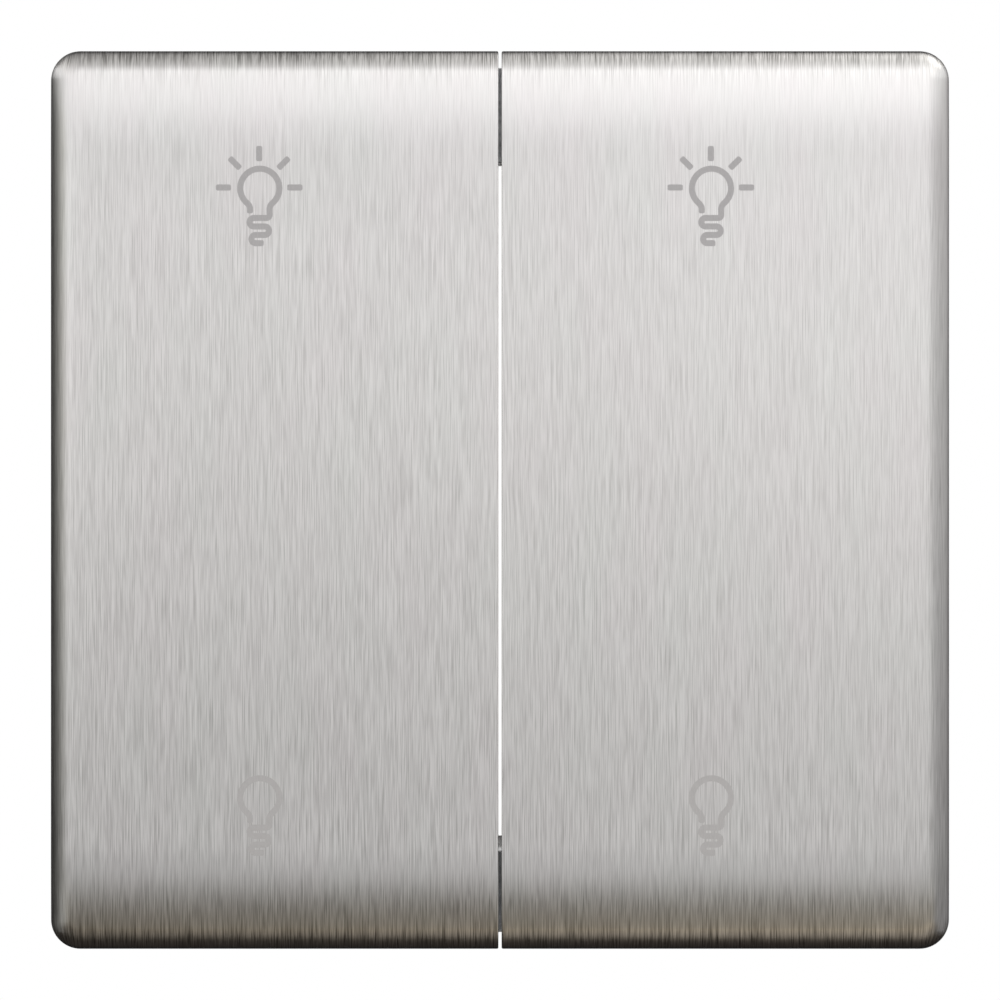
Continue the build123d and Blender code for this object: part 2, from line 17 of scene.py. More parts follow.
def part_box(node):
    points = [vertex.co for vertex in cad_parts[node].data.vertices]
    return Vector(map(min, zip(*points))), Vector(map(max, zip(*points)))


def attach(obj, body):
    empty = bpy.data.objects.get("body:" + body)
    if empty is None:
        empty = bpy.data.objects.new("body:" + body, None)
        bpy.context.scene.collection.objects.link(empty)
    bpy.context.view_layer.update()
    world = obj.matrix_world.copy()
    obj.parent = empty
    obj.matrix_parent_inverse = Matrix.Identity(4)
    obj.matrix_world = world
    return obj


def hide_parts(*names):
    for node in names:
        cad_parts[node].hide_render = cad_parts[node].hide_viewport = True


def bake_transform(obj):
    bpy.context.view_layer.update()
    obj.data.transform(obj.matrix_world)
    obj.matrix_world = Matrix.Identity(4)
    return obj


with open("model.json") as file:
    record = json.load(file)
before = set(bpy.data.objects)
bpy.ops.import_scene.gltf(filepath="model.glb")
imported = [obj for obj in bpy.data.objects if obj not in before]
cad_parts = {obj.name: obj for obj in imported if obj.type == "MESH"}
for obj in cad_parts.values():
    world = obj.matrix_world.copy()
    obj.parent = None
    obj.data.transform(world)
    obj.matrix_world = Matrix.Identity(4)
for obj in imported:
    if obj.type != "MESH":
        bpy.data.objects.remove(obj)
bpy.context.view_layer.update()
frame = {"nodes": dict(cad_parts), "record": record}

MM = 0.001

# %% [markdown]
# ## Camera
# The photograph looks straight at the keys from far off with a long lens: the outline is as tall as
# it is wide, although the upper and lower edges lie deeper than the sides. A camera some metres
# away gives that, and its lens is worked out from the width of the picture at the keys.

# %% Camera
face_low, face_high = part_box("key_face_right")
HALF = face_high.x
FRONT = face_low.y
RIM = face_high.y
GAP_HALF = face_low.x

CAMERA_DISTANCE = 1800 * MM
PICTURE_WIDTH = 78.97 * MM
SENSOR = 36.0

camera_data = bpy.data.cameras.new("camera")
camera_data.sensor_width = SENSOR
camera_data.lens = SENSOR * CAMERA_DISTANCE / PICTURE_WIDTH
camera = bpy.data.objects.new("camera", camera_data)
camera.location = (0, FRONT - CAMERA_DISTANCE, 0)
camera.rotation_euler = (math.radians(90), 0, 0)
bpy.context.scene.collection.objects.link(camera)
bpy.context.scene.camera = camera
bpy.context.scene.view_settings.view_transform = "Standard"
print("lens in mm:", round(camera_data.lens, 1))

# %% [markdown]
# ## Small tools for finishes
# Every finish below is a Principled shader whose colour, roughness and bump come from a few noises.
# Wiring nodes by hand is long-winded, so small functions do it. They make the material, add a noise
# that is stretched along its axes, map a value to a range, mix values or colours, spread tones over a
# measure with a colour ramp, and add a bump.

# %% Tools for finishes
def new_finish(name):
    """A node material and its Principled shader."""
    finish = bpy.data.materials.new(name)
    finish.use_nodes = True
    return finish, finish.node_tree.nodes["Principled BSDF"]


def add_node(finish, kind, **settings):
    node = finish.node_tree.nodes.new(kind)
    for name, value in settings.items():
        setattr(node, name, value)
    return node


def join(finish, source, target):
    finish.node_tree.links.new(source, target)


def object_place(finish):
    return add_node(finish, "ShaderNodeTexCoord").outputs["Object"]


def noise(finish, place, waves, detail=2.0, roughness=0.5, start=0.0):
    """Noise with its own number of waves along each axis, and a start of its own along the second."""
    mapping = add_node(finish, "ShaderNodeMapping")
    mapping.inputs["Location"].default_value[1] = start
    mapping.inputs["Scale"].default_value = waves
    join(finish, place, mapping.inputs["Vector"])
    texture = add_node(finish, "ShaderNodeTexNoise")
    texture.inputs["Scale"].default_value = 1.0
    texture.inputs["Detail"].default_value = detail
    texture.inputs["Roughness"].default_value = roughness
    join(finish, mapping.outputs["Vector"], texture.inputs["Vector"])
    return texture.outputs["Fac"]


def ranged(finish, value, low, high, start=0.3, end=0.7):
    """A value from start to end becomes one from low to high."""
    node = add_node(finish, "ShaderNodeMapRange")
    node.inputs["From Min"].default_value = start
    node.inputs["From Max"].default_value = end
    node.inputs["To Min"].default_value = low
    node.inputs["To Max"].default_value = high
    join(finish, value, node.inputs["Value"])
    return node.outputs["Result"]


def sum_of(finish, first, second, share=0.5):
    """A weighted sum of two values, the second with the given share."""
    node = add_node(finish, "ShaderNodeMix", data_type="FLOAT")
    node.inputs[0].default_value = share
    join(finish, first, node.inputs[2])
    join(finish, second, node.inputs[3])
    return node.outputs[0]


def two_colours(finish, value, first, second):
    """A colour between two, chosen by a value from 0 to 1."""
    node = add_node(finish, "ShaderNodeMix", data_type="RGBA")
    node.inputs[6].default_value = (*first, 1)
    node.inputs[7].default_value = (*second, 1)
    join(finish, value, node.inputs[0])
    return node.outputs[2]


def tinted(tones, tint):
    """Stops with single tones become stops with colours."""
    return [(place, tuple(tone * part for part in tint)) for place, tone in tones]


def grey(tones):
    return tinted(tones, (1, 1, 1))


def ramped(finish, value, tones, brightest=1.0):
    """A colour ramp over a measure, with its tones as shares of the brightest, as a ramp ends at 1."""
    low, high = tones[0][0], tones[-1][0]
    ramp = add_node(finish, "ShaderNodeValToRGB")
    stops = ramp.color_ramp.elements
    while len(stops) < len(tones):
        stops.new(0.5)
    for stop, (place, tone) in zip(stops, tones):
        stop.position = (place - low) / (high - low)
        stop.color = (*[part / brightest for part in tone], 1)
    join(finish, ranged(finish, value, 0, 1, low, high), ramp.inputs["Fac"])
    return ramp.outputs["Color"]


def mixed(finish, blend, share, first, second):
    """Two colours mixed, multiplied or added, by a share that is a number or a socket."""
    node = add_node(finish, "ShaderNodeMix", data_type="RGBA", blend_type=blend)
    if isinstance(share, float):
        node.inputs[0].default_value = share
    else:
        join(finish, share, node.inputs[0])
    join(finish, first, node.inputs[6])
    join(finish, second, node.inputs[7])
    return node.outputs[2]


def add_bump(finish, shader, height, strength, depth):
    node = add_node(finish, "ShaderNodeBump")
    node.inputs["Strength"].default_value = strength
    node.inputs["Distance"].default_value = depth
    join(finish, height, node.inputs["Height"])
    join(finish, node.outputs["Normal"], shader.inputs["Normal"])


# %% [markdown]
# ## Brushed steel
# The keys' sheet was brushed up and down before it was formed, so fine scratches run along the key.
# Two things show that. Light spreads sideways across the scratches and hardly along them, which is
# the shader's anisotropy, and thin streaks differ a little in tone. The streaks are noises of three
# lengths, because scratches are long and short, stretched along V of a UV map named grain, which is
# laid over the formed sheet and counts in millimetres. A noise is weaker at the rows of its lattice.
# Noises that start together are weak in the same rows, which shows as level seams, so each streak
# noise has a start of its own.
# A ramp over V says how strong the streaks are: strongest on the bent ends, weakest high on the crown.
# That is partly painted light: the scratches are real grain, but their strength at each height copies
# how the reflected light shows them. The tangent reads the same map, so the spread follows the sheet
# round its edges.

# %% Brushed steel
STREAK_SHARE_WITH_PAINTED_LIGHT = [
    (-44, 0.4), (-37.2, 0.42), (-35.8, 0.88), (-34.3, 0.48), (-32, 0.45), (-30.5, 0.26),
    (-28.5, 0.29), (-18, 0.25), (5, 0.222), (22, 0.205), (29.5, 0.135), (32.5, 0.088),
    (34, 0.15), (35.5, 0.44), (37, 0.7), (44, 0.65),
]
DARK_STREAK = (0.04, 0.035, 0.03)
PALE_STREAK = (0.98, 0.975, 0.97)
WARM_STEEL = (0.637, 0.617, 0.614)
COOL_STEEL = (0.629, 0.627, 0.614)
SPREAD_ACROSS = 0.7


def brushed_steel():
    finish, shader = new_finish("brushed_steel")
    place = add_node(finish, "ShaderNodeUVMap", uv_map="grain").outputs["UV"]
    middling_hairs = noise(finish, place, (13.5, 0.22, 1.0), detail=1.0, start=0.31)
    short_hairs = noise(finish, place, (14.5, 0.45, 1.0), detail=1.0, start=0.17)
    long_hairs = noise(finish, place, (12.5, 0.11, 1.0), detail=1.0, start=0.42)
    bands = noise(finish, place, (2.2, 0.03, 1.0), detail=3.0)
    clouds = noise(finish, place, (0.2, 0.06, 1.0), detail=2.0)
    hairs = sum_of(finish, sum_of(finish, middling_hairs, short_hairs, 0.45), long_hairs, 0.3)
    streaks = sum_of(finish, hairs, bands, 0.06)
    contrast = ranged(finish, streaks, 0, 1, 0.374, 0.574)
    strong = two_colours(finish, contrast, DARK_STREAK, PALE_STREAK)
    even = two_colours(finish, ranged(finish, clouds, 0, 1), WARM_STEEL, COOL_STEEL)
    along = add_node(finish, "ShaderNodeSeparateXYZ")
    join(finish, place, along.inputs["Vector"])
    # partly painted light: the streaks are real grain, but their strength at each height copies the
    # reflections
    depth = ramped(finish, along.outputs["Y"], grey(STREAK_SHARE_WITH_PAINTED_LIGHT))
    join(finish, mixed(finish, "MIX", depth, even, strong), shader.inputs["Base Color"])
    join(finish, ranged(finish, streaks, 0.28, 0.36, 0.37, 0.63), shader.inputs["Roughness"])
    shader.inputs["Metallic"].default_value = 1.0
    shader.inputs["Anisotropic"].default_value = SPREAD_ACROSS
    tangent = add_node(finish, "ShaderNodeTangent", direction_type="UV_MAP", uv_map="grain")
    join(finish, tangent.outputs["Tangent"], shader.inputs["Tangent"])
    add_bump(finish, shader, hairs, 0.05, 0.01 * MM)
    return finish


STEEL = brushed_steel()
print("finish:", STEEL.name)

# %% [markdown]
# ## The formed steel faces
# Each face is one sheet: flat in the middle, crowned towards its upper and lower ends, with a slight
# shoulder at its side and a tight roll into a straight wall at its edges. The two faces share one
# outline with a gap, so the mesh starts as the flat outline of the pair. Its corners are rounded by a
# bevel, rings are inset where the edge will roll, the outline is extruded to make the wall, planes
# cut the strips that the crown bends along, and one half is cut away at the gap. Each vertex is
# then pushed back by the depth of crown, shoulder and roll at its place.

# %% Sizes of the pressed shape
CORNER = 2.32 * MM
ROLL = 1.7 * MM
CROWN = 8.0 * MM
CROWN_RADIUS = 25.0 * MM
SHOULDER = 3.6 * MM
SHOULDER_RADIUS = 45.0 * MM
SHEET = 0.6 * MM
FLAT_HALF = HALF - CROWN
GAP_CORNER = 0.12 * MM
GAP_EASE = 0.06 * MM
CORNER_STEPS = 16
ROLL_STEPS = 12
CROWN_STEPS = 14
SHOULDER_STEPS = 5
GAP_SHARES = (1.0, 0.6, 0.3, 0.12, 0.0)
CLOSE = 0.001 * MM


def arc_drop(radius, reach):
    """How far an arc has fallen, a given reach past the point where it leaves the flat."""
    return radius - math.sqrt(radius ** 2 - min(max(reach, 0.0), radius) ** 2)


def crown_depth(z):
    return arc_drop(CROWN_RADIUS, abs(z) - FLAT_HALF)


def shoulder_depth(x):
    return arc_drop(SHOULDER_RADIUS, abs(x) - (HALF - SHOULDER))


def from_outline(x, z):
    """Distance of a place on the front from the rounded outline of the pair."""
    past_x = abs(x) - (HALF - CORNER)
    past_z = abs(z) - (HALF - CORNER)
    if past_x > 0 and past_z > 0:
        return CORNER - math.hypot(past_x, past_z)
    return min(HALF - abs(x), HALF - abs(z))


print("crown falls", round(crown_depth(HALF) / MM, 2), "mm at the ends")

# %% Outline, rings, wall and strips
def flat_pair():
    """The pair's front as a flat sheet with rings at its edge, cut into strips for the crown."""
    bm = bmesh.new()
    bmesh.ops.create_grid(bm, x_segments=1, y_segments=1, size=HALF)
    bmesh.ops.rotate(bm, verts=bm.verts, cent=(0, 0, 0), matrix=Matrix.Rotation(math.radians(90), 3, "X"))
    bmesh.ops.bevel(
        bm, geom=bm.verts[:], offset=CORNER, segments=CORNER_STEPS, profile=0.5, affect="VERTICES",
        material=-1,
    )
    front = bm.faces[:]
    reached = 0.0
    for step in range(1, ROLL_STEPS + 1):
        ring = ROLL * (1 - math.cos(math.radians(90) * step / ROLL_STEPS))
        bmesh.ops.inset_region(
            bm, faces=front, thickness=ring - reached, use_boundary=True, use_even_offset=True,
        )
        reached = ring
    outline = [edge for edge in bm.edges if edge.is_boundary]
    wall = bmesh.ops.extrude_edge_only(bm, edges=outline)["geom"]
    rim = [part for part in wall if isinstance(part, bmesh.types.BMVert)]
    bmesh.ops.translate(bm, verts=rim, vec=(0, RIM - FRONT, 0))
    for step in range(CROWN_STEPS):
        cut = FLAT_HALF + (CROWN - ROLL) * step / CROWN_STEPS
        for z in (cut, -cut):
            bmesh.ops.bisect_plane(
                bm, geom=bm.verts[:] + bm.edges[:] + bm.faces[:], dist=CLOSE,
                plane_co=(0, 0, z), plane_no=(0, 0, 1),
            )
    strips = [HALF - SHOULDER + (SHOULDER - ROLL) * step / SHOULDER_STEPS for step in range(SHOULDER_STEPS)]
    for x in strips + [GAP_HALF + GAP_CORNER * share for share in GAP_SHARES]:
        bmesh.ops.bisect_plane(
            bm, geom=bm.verts[:] + bm.edges[:] + bm.faces[:], dist=CLOSE,
            plane_co=(x, 0, 0), plane_no=(1, 0, 0), clear_inner=x == GAP_HALF,
        )
    return bm


def press(bm):
    """Bends the flat sheet to the pressed shape, with eased corners at the gap."""
    for vert in bm.verts:
        x, y, z = vert.co
        edge = from_outline(x, z)
        from_gap = x - GAP_HALF
        on_wall = y > 0.5 * (RIM - FRONT)
        depth = crown_depth(z) + shoulder_depth(x)
        depth += arc_drop(ROLL, ROLL - edge) + arc_drop(GAP_EASE, GAP_EASE - from_gap)
        vert.co.y = RIM if on_wall else FRONT + depth
        at_end = HALF - abs(z) < ROLL
        if at_end and from_gap < GAP_CORNER:
            inward = arc_drop(GAP_CORNER, GAP_CORNER - from_gap) * (1 - edge / ROLL)
            vert.co.z -= math.copysign(inward, z)


trial = flat_pair()
press(trial)
print("faces in one pressed skin:", len(trial.faces))
trial.free()

# %% [markdown]
# The grain map unrolls the sheet: across the front it is simply x and z, and where the edge rolls
# back, its depth is added outwards, sideways at the sides, up or down at the ends and along the
# radius at the corners. So the scratches run on over the edge without a break. Thickness comes
# after that, and the short tabs that are bent over behind the carrier are small bevelled plates
# joined into the same mesh.

# %% Grain map, thickness and tabs
TAB = Vector((4.0, 0.6, 1.4)) * MM
TAB_EDGE = 0.12 * MM
TAB_LAP = 0.3 * MM
SIDE_TABS = [-20 * MM, 0.0, 20 * MM]
END_TABS = [10 * MM, 25 * MM]


def outwards(x, z):
    """Direction from a place on the front to the nearest outline, in the front's plane."""
    past_x = max(abs(x) - (HALF - CORNER), 0.0)
    past_z = max(abs(z) - (HALF - CORNER), 0.0)
    if past_x == 0 and past_z == 0:
        return 0.0, 0.0
    reach = math.hypot(past_x, past_z)
    return math.copysign(past_x / reach, x), math.copysign(past_z / reach, z)


def lay_grain(bm):
    grain = bm.loops.layers.uv.new("grain")
    for face in bm.faces:
        for corner in face.loops:
            x, y, z = corner.vert.co
            rolled = y - FRONT - crown_depth(z) - shoulder_depth(x)
            aside, ahead = outwards(x, z)
            u = x + math.copysign(shoulder_depth(x), x) + aside * rolled
            v = z + math.copysign(crown_depth(z), z) + ahead * rolled
            corner[grain].uv = (u / MM, v / MM)


def add_tab(bm, x, z, turn):
    tab = bmesh.ops.create_cube(bm, size=1.0)["verts"]
    bmesh.ops.scale(bm, verts=tab, vec=TAB)
    edges = list({edge for vert in tab for edge in vert.link_edges})
    eased = bmesh.ops.bevel(
        bm, geom=edges, offset=TAB_EDGE, segments=2, profile=0.5, affect="EDGES", material=-1,
    )["verts"]
    place = Matrix.Translation((x, RIM - TAB.y / 2, z)) @ Matrix.Rotation(math.radians(turn), 4, "Y")
    bmesh.ops.transform(bm, verts=eased, matrix=place)


def steel_face(side):
    """One pressed face: side is 1 for the right key and -1 for the left."""
    bm = flat_pair()
    press(bm)
    if side < 0:
        bmesh.ops.scale(bm, verts=bm.verts, vec=(-1, 1, 1))
    bmesh.ops.recalc_face_normals(bm, faces=bm.faces)
    if max(bm.faces, key=lambda face: face.calc_area()).normal.y > 0:
        bmesh.ops.reverse_faces(bm, faces=bm.faces)
    lay_grain(bm)
    bmesh.ops.solidify(bm, geom=bm.faces[:], thickness=SHEET)
    reach = HALF - SHEET - TAB.z / 2 + TAB_LAP
    for z in SIDE_TABS:
        add_tab(bm, side * reach, z, 90)
    for x in END_TABS:
        for z in (-reach, reach):
            add_tab(bm, side * x, z, 0)
    return bm


print("tabs on each face:", len(SIDE_TABS) + 2 * len(END_TABS))

# %% [markdown]
# Smooth shading averages the normals at each vertex. On a sheet whose middle is one large polygon
# and whose edges are thin rings, a plain average would tilt the normals of the flat. The Weighted
# Normal modifier gives the larger face the say, so the flat stays flat and the roll stays round.

# %% Make the two faces
SMOOTH_BELOW = math.radians(38)


def new_piece(name, bm, finish, body):
    """Turns a bmesh into a shaded object that rides on a body, or on none if body is None."""
    mesh = bpy.data.meshes.new(name)
    bm.to_mesh(mesh)
    bm.free()
    mesh.shade_smooth()
    mesh.set_sharp_from_angle(angle=SMOOTH_BELOW)
    piece = bpy.data.objects.new(name, mesh)
    bpy.context.scene.collection.objects.link(piece)
    mesh.materials.append(finish)
    if body:
        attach(piece, body)
    return piece


def even_shading(piece):
    modifier = piece.modifiers.new("even_shading", "WEIGHTED_NORMAL")
    modifier.keep_sharp = True


for side, word in ((-1, "left"), (1, "right")):
    face = new_piece(f"steel_face_{word}", steel_face(side), STEEL, f"key_{word}")
    even_shading(face)
    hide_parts(f"key_face_{word}")
    print(face.name, len(face.data.polygons), "faces")

# %% [markdown]
# ## The bulb marks
# A lamp with rays at the top of each key and one without at the bottom say brighter and darker. On
# the real keys they are burnt into the steel as a matte grey line. Here a mark is a very thin inlay
# drawn like a pen stroke: an edge as wide as the line is extruded along straight runs and spun round
# bends, so the line keeps its width. A little thickness and the crown's depth set it on the steel.

# %% A pen that draws with extrude and spin
LINE = 0.48 * MM
INLAY = 0.03 * MM
PROUD = 0.012 * MM
END_TURNS = (25, 50, 70, 84)
END_SHARE = 0.6


def as_edge(parts):
    return next(part for part in parts if isinstance(part, bmesh.types.BMEdge))


def run(bm, edge, way, length):
    """Extrudes the pen's edge straight ahead."""
    edge = as_edge(bmesh.ops.extrude_edge_only(bm, edges=[edge])["geom"])
    bmesh.ops.translate(bm, verts=edge.verts[:], vec=way * length)
    return edge, way


def bend(bm, edge, way, radius, angle):
    """Spins the pen's edge round a bend: a positive angle turns to the left."""
    middle = (edge.verts[0].co + edge.verts[1].co) / 2
    to_left = Vector((-way.z, 0, way.x))
    centre = middle + to_left * math.copysign(radius, angle)
    made = bmesh.ops.spin(
        bm, geom=[edge, *edge.verts], cent=centre, axis=(0, -1, 0), angle=math.radians(angle),
        steps=max(4, round(abs(angle) / 7)), use_duplicate=False,
    )
    way = Matrix.Rotation(-math.radians(angle), 3, "Y") @ way
    return as_edge(made["geom_last"]), way


def round_end(bm, edge, way):
    """Closes a stroke with an end that is rounded at its corners."""
    middle = (edge.verts[0].co + edge.verts[1].co) / 2
    half_line = (edge.verts[1].co - edge.verts[0].co) / 2
    for turn in END_TURNS:
        edge = as_edge(bmesh.ops.extrude_edge_only(bm, edges=[edge])["geom"])
        ahead = middle + way * (LINE / 2 * END_SHARE * math.sin(math.radians(turn)))
        width = (1 - END_SHARE) + END_SHARE * math.cos(math.radians(turn))
        first, second = edge.verts
        forwards = (second.co - first.co).dot(half_line) > 0
        first.co = ahead - half_line * (width if forwards else -width)
        second.co = ahead + half_line * (width if forwards else -width)


def start_stroke(bm, place, way):
    """Puts the pen down with a rounded end behind it."""
    across = Vector((-way.z, 0, way.x)) * (LINE / 2)
    first, second = bm.verts.new(place - across), bm.verts.new(place + across)
    edge = bm.edges.new((first, second))
    round_end(bm, edge, -way)
    return edge, way


print("line width in mm:", LINE / MM)

# %% [markdown]
# The lamp is one stroke: up the left side of the neck, round the bulb, down the right side and then
# to and fro as the thread of the socket. The rays are five short strokes round it.

# %% One lamp mark
BULB = 1.545 * MM
NECK_TURN = 50.0
NECK_BEND = 0.62 * MM
NECK_START = 0.18 * MM
NECK_END = 0.45 * MM
SOCKET_BEND = 0.24 * MM
SOCKET_TURNS = [(1.0, 0.335, 180), (0.86, 0.335, -180), (0.72, 0.325, 180)]
SOCKET_END = 0.5 * MM
RAY_STARTS = {0: 2.36, 45: 2.26, 90: 2.22, 135: 2.26, 180: 2.36}
RAY_LENGTH = 0.92 * MM
RAY_CENTRE = Vector((-0.05, 0, 0.06)) * MM


def lamp_mark(bm, x, z, rays):
    centre = Vector((x, 0, z))
    side = BULB * math.cos(math.radians(NECK_TURN)) - NECK_BEND * (1 - math.cos(math.radians(NECK_TURN)))
    low = (BULB + NECK_BEND) * math.sin(math.radians(NECK_TURN))
    up = Vector((0, 0, 1))
    pen = start_stroke(bm, centre + Vector((-side, 0, -low - NECK_START)), up)
    pen = run(bm, *pen, NECK_START)
    pen = bend(bm, *pen, NECK_BEND, NECK_TURN)
    pen = bend(bm, *pen, BULB, -180 - 2 * NECK_TURN)
    pen = bend(bm, *pen, NECK_BEND, NECK_TURN)
    pen = run(bm, *pen, NECK_END)
    pen = bend(bm, *pen, SOCKET_BEND, -90)
    for length, radius, turn in SOCKET_TURNS:
        pen = run(bm, *pen, length * MM)
        pen = bend(bm, *pen, radius * MM, turn)
    pen = run(bm, *pen, SOCKET_END)
    round_end(bm, *pen)
    for angle, start in RAY_STARTS.items() if rays else ():
        out = Vector((math.cos(math.radians(angle)), 0, math.sin(math.radians(angle))))
        pen = start_stroke(bm, centre + RAY_CENTRE + out * start * MM, out)
        pen = run(bm, *pen, RAY_LENGTH)
        round_end(bm, *pen)


print("rays round a bright lamp:", len(RAY_STARTS))

# %% [markdown]
# The burnt line is matte and a little uneven, so its finish is a grey with a fine noise and no
# metallic shine. Its grey is lighter at the lower marks than at the upper ones.

# %% Make the marks
BRIGHT_Z = 24.62 * MM
DIM_Z = -23.52 * MM
BURNT_TONES = [(DIM_Z, (0.56, 0.55, 0.55)), (BRIGHT_Z, (0.46, 0.45, 0.455))]


def burnt_line():
    finish, shader = new_finish("burnt_line")
    place = object_place(finish)
    speckle = noise(finish, place, (9000, 9000, 2500), detail=3.0)
    height = add_node(finish, "ShaderNodeSeparateXYZ")
    join(finish, place, height.inputs["Vector"])
    burnt = ramped(finish, height.outputs["Z"], BURNT_TONES)
    uneven = two_colours(finish, ranged(finish, speckle, 0, 1), (0.92, 0.92, 0.92), (1.0, 1.0, 1.0))
    join(finish, mixed(finish, "MULTIPLY", 1.0, burnt, uneven), shader.inputs["Base Color"])
    join(finish, ranged(finish, speckle, 0.55, 0.7), shader.inputs["Roughness"])
    shader.inputs["Specular IOR Level"].default_value = 0.3
    add_bump(finish, shader, speckle, 0.15, 0.01 * MM)
    return finish


BURNT = burnt_line()
MARKS = {"left": -18.97 * MM, "right": 16.7 * MM}

for word, x in MARKS.items():
    bm = bmesh.new()
    lamp_mark(bm, x, BRIGHT_Z, rays=True)
    lamp_mark(bm, x, DIM_Z, rays=False)
    bmesh.ops.remove_doubles(bm, verts=bm.verts, dist=2 * CLOSE)
    bmesh.ops.recalc_face_normals(bm, faces=bm.faces)
    turned = [face for face in bm.faces if face.normal.y > 0]
    bmesh.ops.reverse_faces(bm, faces=turned)
    for vert in bm.verts:
        vert.co.y = FRONT + crown_depth(vert.co.z) - PROUD
    bmesh.ops.solidify(bm, geom=bm.faces[:], thickness=INLAY)
    marks = new_piece(f"lamp_marks_{word}", bm, BURNT, f"key_{word}")
    print(marks.name, len(marks.data.polygons), "faces")

# %% [markdown]
# ## Finishes of the insert
# Behind the keys are mouldings, plated sheet, screws, boards and parts. A moulding has a fine
# eroded texture and slight clouds in its colour. Plated metal has faint rolling lines and patches
# that are duller than others. Each finish is made by one of two functions from its own colours.

# %% Mouldings and metals
def moulding(name, dark, light, rough, texture=0.2, waves=2600.0):
    """Moulded plastic with a fine eroded texture."""
    finish, shader = new_finish(name)
    place = object_place(finish)
    clouds = noise(finish, place, (90, 90, 90), detail=3.0)
    pits = noise(finish, place, (waves, waves, waves), detail=2.0)
    tone = two_colours(finish, ranged(finish, clouds, 0, 1), dark, light)
    join(finish, tone, shader.inputs["Base Color"])
    join(finish, ranged(finish, pits, rough - 0.07, rough + 0.07), shader.inputs["Roughness"])
    add_bump(finish, shader, pits, texture, 0.04 * MM)
    return finish


def sheet_metal(name, dark, light, rough, waves=(250, 250, 2400)):
    """Rolled, plated or drawn metal with faint lines across one axis."""
    finish, shader = new_finish(name)
    place = object_place(finish)
    patches = noise(finish, place, (160, 160, 160), detail=4.0, roughness=0.6)
    lines = noise(finish, place, waves, detail=2.0)
    wear = sum_of(finish, patches, lines, 0.4)
    tone = two_colours(finish, ranged(finish, wear, 0, 1), dark, light)
    join(finish, tone, shader.inputs["Base Color"])
    join(finish, ranged(finish, wear, rough + 0.09, rough - 0.06), shader.inputs["Roughness"])
    shader.inputs["Metallic"].default_value = 1.0
    add_bump(finish, shader, lines, 0.08, 0.01 * MM)
    return finish


FINISHES = {
    "key_carrier": moulding("dark_carrier", (0.045, 0.045, 0.048), (0.056, 0.056, 0.06), 0.5),
    "cover_plastic": moulding("pale_cover", (0.79, 0.79, 0.76), (0.82, 0.82, 0.79), 0.5),
    "plunger_plastic": moulding("red_plunger", (0.6, 0.07, 0.04), (0.7, 0.1, 0.06), 0.4),
    "switch_plastic": moulding("black_switch", (0.02, 0.02, 0.02), (0.035, 0.035, 0.035), 0.45),
    "lamp": moulding("lamp_lens", (0.85, 0.85, 0.78), (0.92, 0.92, 0.86), 0.15, 0.05),
    "chip": moulding("chip_resin", (0.015, 0.015, 0.016), (0.026, 0.026, 0.028), 0.6),
    "housing_plastic": moulding("grey_housing", (0.43, 0.44, 0.45), (0.455, 0.465, 0.475), 0.52, 0.3),
    "link_plastic": moulding("black_link", (0.02, 0.02, 0.02), (0.04, 0.04, 0.04), 0.5),
    "ferrite": moulding("sintered_ferrite", (0.035, 0.035, 0.038), (0.07, 0.07, 0.074), 0.75, 0.5, 1500.0),
    "film_capacitor": moulding("yellow_case", (0.68, 0.44, 0.05), (0.78, 0.54, 0.08), 0.3, 0.08),
    "varistor": moulding("blue_coating", (0.03, 0.11, 0.42), (0.06, 0.17, 0.54), 0.35, 0.25, 900.0),
    "fuse": moulding("brown_case", (0.27, 0.14, 0.07), (0.36, 0.2, 0.1), 0.35, 0.1),
    "transistor": moulding("transistor_resin", (0.015, 0.015, 0.016), (0.028, 0.028, 0.03), 0.55),
    "terminal_plastic": moulding("pale_terminal", (0.64, 0.64, 0.61), (0.72, 0.72, 0.69), 0.5),
    "spring_steel": sheet_metal("spring_steel", (0.48, 0.47, 0.45), (0.6, 0.59, 0.57), 0.28),
    "zinc_plate": sheet_metal("zinc_plate", (0.56, 0.57, 0.59), (0.69, 0.7, 0.71), 0.2),
    "screw_steel": sheet_metal("plated_screw", (0.52, 0.52, 0.52), (0.66, 0.66, 0.66), 0.3),
    "clamp_brass": sheet_metal("bare_brass", (0.62, 0.46, 0.19), (0.76, 0.6, 0.28), 0.32),
    "storage_capacitor": moulding("can_sleeve", (0.02, 0.025, 0.07), (0.035, 0.04, 0.11), 0.3, 0.08),
}
print("finishes:", len(FINISHES))

# %% [markdown]
# Three finishes need more than that. The boards have a lacquer over copper tracks, which show as a
# faint lighter pattern. The coil is enamelled wire laid turn by turn, a wave across the winding, with
# painted shade in the grooves between the turns. The light guide is opal plastic with a lamp at its
# foot, and its glow up to its dark ends is painted light: that glow is the white line in the gap of the
# photograph, where an unlit guide would lie in shade. The pale spot below the line, at the guide's lower
# end, is a painted glint. A colour ramp is a table of 256 steps, so a sharp end needs a short ramp: one
# holds the ends of the line, and another the spot.

# %% Lacquered board, wound wire with painted shade and opal with painted glow
TRACK_TONE = (0.025, 0.16, 0.075)
LACQUER_TONE = (0.015, 0.11, 0.05)
WIRE_TONE = (0.66, 0.28, 0.13)
PAINTED_SHADE_BETWEEN_TURNS = (0.22, 0.07, 0.025)
DULL_OPAL = (0.86, 0.86, 0.84)
CLEAR_OPAL = (0.93, 0.93, 0.92)
PAINTED_GLOW_TONE = (1.0, 0.995, 0.98)
PAINTED_GLOW_LENGTH = [(26.42 * MM, PAINTED_GLOW_TONE), (26.48 * MM, (0.0, 0.0, 0.0))]
PAINTED_GLOW_MIDDLE = -0.063 * MM
PAINTED_END_GLINT = [
    (-27.8 * MM, 0.0), (-27.73 * MM, 0.2), (-27.6 * MM, 0.45), (-27.48 * MM, 0.3), (-27.38 * MM, 0.1),
    (-27.25 * MM, 0.05), (-27.1 * MM, 0.09), (-26.95 * MM, 0.02), (-26.85 * MM, 0.0),
]


